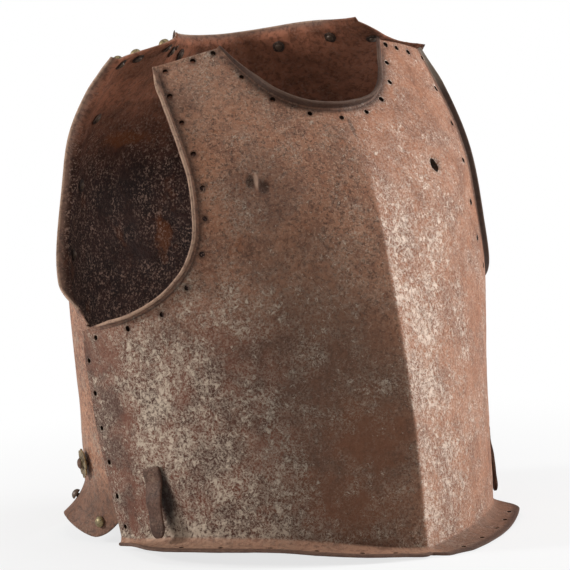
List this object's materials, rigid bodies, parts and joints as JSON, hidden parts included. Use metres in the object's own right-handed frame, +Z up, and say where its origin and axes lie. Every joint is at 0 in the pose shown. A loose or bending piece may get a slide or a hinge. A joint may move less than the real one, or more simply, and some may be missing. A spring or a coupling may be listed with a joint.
{
  "type": "cuirass",
  "caption": "Heavy two-piece cuirass: ridged breastplate with turned edges, belt hooks and waist flange, lapping a riveted backplate with flared skirt.",
  "frame": {"origin": "middle of the ground plane under the whole object's box", "axes": "+Z up; the wearer faces -Y, so the breastplate's ridge is at -Y; +X is the wearer's left"},
  "size_m": [0.3792, 0.3951, 0.4279],
  "materials": {
    "breastplate_iron": "hammered plate, rust brown with pale worn speckle",
    "backplate_iron": "hammered plate, rust brown, darker inside",
    "hook_iron": "rusted forged strip",
    "washer_iron": "dark rusted washer",
    "dark_iron": "dark rusted rivet",
    "rivet_brass": "dull brass, brown-green tarnish",
    "rosette_brass": "dull brass, brown-green tarnish"
  },
  "bodies": {
    "back": {"backplate": "backplate_iron", "right_armhole_rivets": "rivet_brass", "left_armhole_rivets": "rivet_brass", "right_armhole_washers": "washer_iron", "left_armhole_washers": "washer_iron", "right_shoulder_rivets": "rivet_brass", "left_shoulder_rivets": "rivet_brass", "right_shoulder_washers": "washer_iron", "left_shoulder_washers": "washer_iron", "neck_rivets": "rivet_brass", "neck_washers": "washer_iron", "right_skirt_rivets": "rivet_brass", "left_skirt_rivets": "rivet_brass", "right_rosette_rivet": "dark_iron", "left_rosette_rivet": "dark_iron", "broken_strap_nail": "dark_iron"},
    "breast": {"breastplate": "breastplate_iron", "right_belt_hook": "hook_iron", "left_belt_hook": "hook_iron"},
    "right_rosette": {"right_rosette": "rosette_brass"},
    "left_rosette": {"left_rosette": "rosette_brass"}
  },
  "joints": [
    {"name": "breast_lift", "type": "slide", "parent": "back", "child": "breast", "axis": [0, -1, 0], "range_m": [0, 0.25]},
    {"name": "right_rosette_turn", "type": "hinge", "parent": "back", "child": "right_rosette", "pos_m": [-0.16858, 0.07364, 0.065], "axis": [-0.9675, 0.2453, -0.061], "continuous": true},
    {"name": "left_rosette_turn", "type": "hinge", "parent": "back", "child": "left_rosette", "pos_m": [0.16858, 0.07364, 0.065], "axis": [0.9675, 0.2453, -0.061], "continuous": true}
  ]
}
